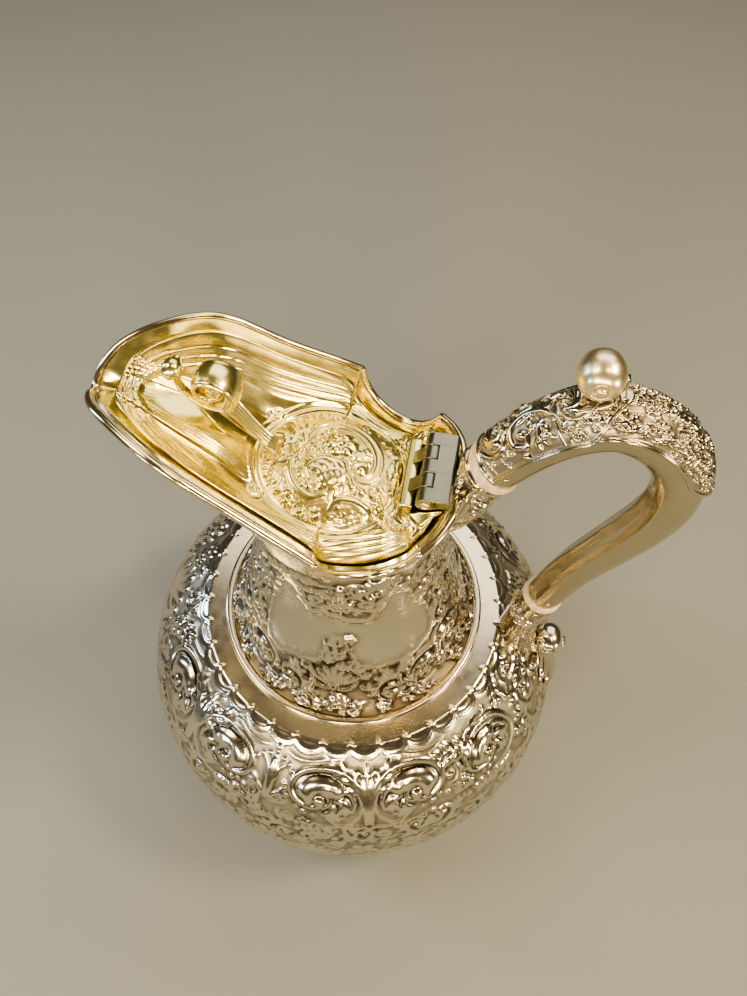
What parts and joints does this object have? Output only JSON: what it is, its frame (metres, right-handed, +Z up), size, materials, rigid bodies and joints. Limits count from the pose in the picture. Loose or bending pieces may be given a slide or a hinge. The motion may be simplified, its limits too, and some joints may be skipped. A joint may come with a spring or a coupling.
{
  "type": "wine jug",
  "caption": "Squat chased silver wine jug with a conical neck, helmet-shaped pouring mouth, hinged gilt lid and a hollow loop handle between two insulating discs",
  "frame": {"origin": "on the ground under the middle of the bounding box", "axes": "+Z up, +X toward the handle, -X toward the spout"},
  "size_m": [0.1694, 0.1618, 0.2455],
  "materials": {
    "sterling_silver": "polished and chased sterling silver, matted in the grounds",
    "aged_silver": "filed silver hinge with a dull grey tone",
    "silver_gilt": "fire-gilt silver, bright on the plain fields",
    "insulator_disc": "cream insulating disc, polished"
  },
  "bodies": {
    "root": {"foot_ring": "sterling_silver", "body_bowl": "sterling_silver", "neck_ring": "sterling_silver", "neck_and_mouth": "sterling_silver", "rim_wire": "sterling_silver", "hinge_block": "aged_silver", "hinge_pin": "aged_silver", "upper_socket": "sterling_silver", "upper_insulator": "insulator_disc", "upper_socket_pin": "sterling_silver", "upper_handle_pin": "sterling_silver", "handle_loop": "sterling_silver", "handle_leaf": "sterling_silver", "thumb_volute": "sterling_silver", "handle_bend_band": "sterling_silver", "lower_handle_pin": "sterling_silver", "lower_insulator": "insulator_disc", "lower_socket_pin": "sterling_silver", "lower_socket": "sterling_silver", "lower_scroll": "sterling_silver", "drop_leaf": "sterling_silver"},
    "lid": {"lid_plate": "silver_gilt", "lid_border_far": "silver_gilt", "lid_border_near": "silver_gilt", "lid_hinge_leaf": "silver_gilt", "lid_front_leaf": "silver_gilt", "lid_scroll": "silver_gilt", "lid_scroll_prop": "silver_gilt"}
  },
  "joints": [
    {"name": "lid_hinge", "type": "hinge", "parent": "root", "child": "lid", "pos_m": [0.01646, 0, 0.1958], "axis": [0, 1, 0], "range_deg": [0, 85]}
  ]
}
